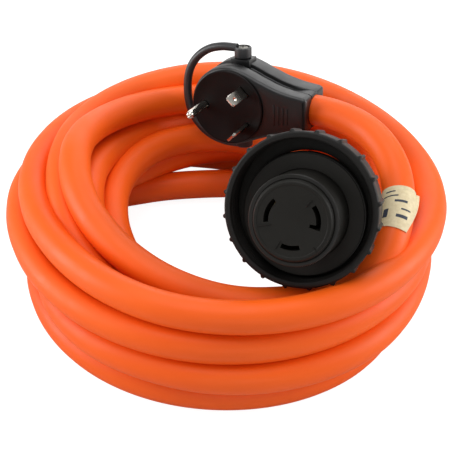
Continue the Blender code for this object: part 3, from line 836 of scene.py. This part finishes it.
def build_seal():
    outline = rounded([(28.3, -6.95), (35.1, -6.95), (35.1, -5.35), (28.3, -5.35)], 0.4, closed=True)
    ob = make("ring_seal_washer", turned(outline, 96, hole=True), "rubber", RING, 40)
    return piece(ob, "seal", "rubber", "ring_seal")


connector_pieces = [build_connector_body(), build_insert(), build_gasket()]
build_ring()
build_seal()


# ---- label --------------------------------------------------------------------------
# First and last distance of the label along the cord from the plug.
LABEL = (81.5, 107.5)
FILM_IN, FILM_OUT = CORD_R + 0.08, CORD_R + 0.42
# How far round the cord the film's free edge runs back over the label's length, in turns.
SLANT = 0.13
# Printed bars: first and last step along the label, first and last angle round the cord.
BARS = [
    (4.6, 6.3, 38, 58), (1.0, 1.25, 40, 75), (1.9, 2.15, 30, 85), (2.9, 3.3, 75, 118), (4.4, 4.7, 100, 135),
    (5.6, 6.1, 88, 128),
]


def label_points():
    """The cord's points under the label."""
    pts = []
    run = 0.0
    for a, b in zip(cord_line[1:], cord_line[2:]):
        run += (b - a).length
        if LABEL[0] <= run <= LABEL[1]:
            pts.append(b)
    return pts


def build_label_wrap(pts):
    """The film round the cord, with a raised free edge that runs back on a slant, and bare cord past it."""
    n = 64
    edge, bare = n // 2, 13
    outer, inner = [], []
    for i, (base, loop) in enumerate(zip(pts, sweep(pts, CORD_R, n))):
        t = i / (len(pts) - 1)
        side = (loop[0] - base).normalized()
        up = (loop[n // 4] - base).normalized()
        over, under = [], []
        for k in range(n):
            high, low = FILM_OUT, FILM_IN
            if k in (edge, edge + 1):
                high = CORD_R + 2.2 - 1.6 * t
            elif edge + 1 < k <= edge + 1 + bare:
                high, low = CORD_R - 0.2, CORD_R - 0.45
            a = 2 * math.pi * (k / n - SLANT * t)
            out = side * math.cos(a) + up * math.sin(a)
            over.append(base + out * high)
            under.append(base + out * low)
        outer.append(over)
        inner.append(under)
    ob = make("cord_label_wrap", skin(outer + inner[::-1], closed=True), "label", None, 50)
    return piece(ob, "cord_set", "label", "cord_label")


def build_label_bars(pts):
    """Plain bars in place of print, each a thin curved plate on the film."""
    bm = bmesh.new()
    for start, stop, lo, hi in BARS:
        rings = []
        for j in range(9):
            a = math.radians(lo + (hi - lo) * j / 8)
            under, over = [], []
            for i in range(5):
                at = start + (stop - start) * i / 4
                k = min(int(at), len(pts) - 2)
                way = pts[k + 1] - pts[k]
                side = way.cross(Vector((0, 0, 1))).normalized()
                out = side * math.cos(a) + side.cross(way).normalized() * math.sin(a)
                base = pts[k].lerp(pts[k + 1], at - k)
                under.append(base + out * (FILM_OUT - 0.02))
                over.append(base + out * (FILM_OUT + 0.05))
            rings.append(under + over[::-1])
        skin(rings, bm=bm)
    ob = make("cord_label_bars", bm, "ink", None, 50)
    return piece(ob, "cord_set", "label")


label_line = label_points()
label_pieces = [build_label_wrap(label_line), build_label_bars(label_line)]


# ---- the solids that stay --------------------------------------------------------------
def finish_of(name):
    """The look of a solid inside the plug or the connector, which has no mesh here."""
    starts = {"contact": "contact", "handle_insert": "brass", "clamp_screw": "nickel"}
    ends = {"_hot": "wire_black", "_neutral": "wire_white", "_ground": "wire_green"}
    if "core" in name:
        return "copper"
    for start, finish in starts.items():
        if name.startswith(start):
            return finish
    for end, finish in ends.items():
        if name.endswith(end):
            return finish


for name, node in frame["nodes"].items():
    if not node.hide_render:
        for slot in node.material_slots:
            slot.material = MATS[finish_of(name)]


# ---- studio ------------------------------------------------------------------------------
FLOOR_SIZE = 6.0
# Each light: place, what it faces, width and height, power.
LIGHTS = {
    "top": ((-0.1, 0.05, 1.3), (0, 0, 0.05), (1.2, 0.8), 8.2),
    "left": ((-1.3, 0, 0.45), (0, 0, 0.05), (0.6, 1.0), 13.5),
    "right": ((1.3, 0.05, 0.45), (0, 0, 0.05), (0.6, 1.0), 12.5),
    "back": ((0.3, 1.2, 0.9), (0, 0, 0.05), (1.2, 0.5), 4),
    "low": ((0, 1.3, 0.34), (0, 0, 0.08), (1.6, 0.5), 4),
    "front": ((0.1, -1.2, 0.45), (0, 0, 0.05), (1.2, 0.4), 2.3),
}


def build_floor():
    data = bpy.data.meshes.new("floor")
    corners = [(-1, -1), (1, -1), (1, 1), (-1, 1)]
    data.from_pydata([(x * FLOOR_SIZE, y * FLOOR_SIZE, 0) for x, y in corners], [], [(0, 1, 2, 3)])
    data.materials.append(floor_material())
    floor = new_object("floor", data)
    floor.location.z = -0.0003


def build_light(name, at, target, area, power):
    light = bpy.data.lights.new(name, "AREA")
    light.shape = "RECTANGLE"
    light.size, light.size_y = area
    light.energy = power
    ob = new_object(name, light)
    ob.location = at
    ob.rotation_euler = (Vector(target) - Vector(at)).to_track_quat("-Z", "Y").to_euler()


def build_studio():
    build_floor()
    sky = bpy.data.worlds.new("studio")
    sky.use_nodes = True
    background = sky.node_tree.nodes["Background"]
    background.inputs["Color"].default_value = (1, 1, 1, 1)
    background.inputs["Strength"].default_value = 0.32
    bpy.context.scene.world = sky
    for name, light in LIGHTS.items():
        build_light(name, *light)
    bpy.context.scene.view_settings.view_transform = "Standard"


build_studio()
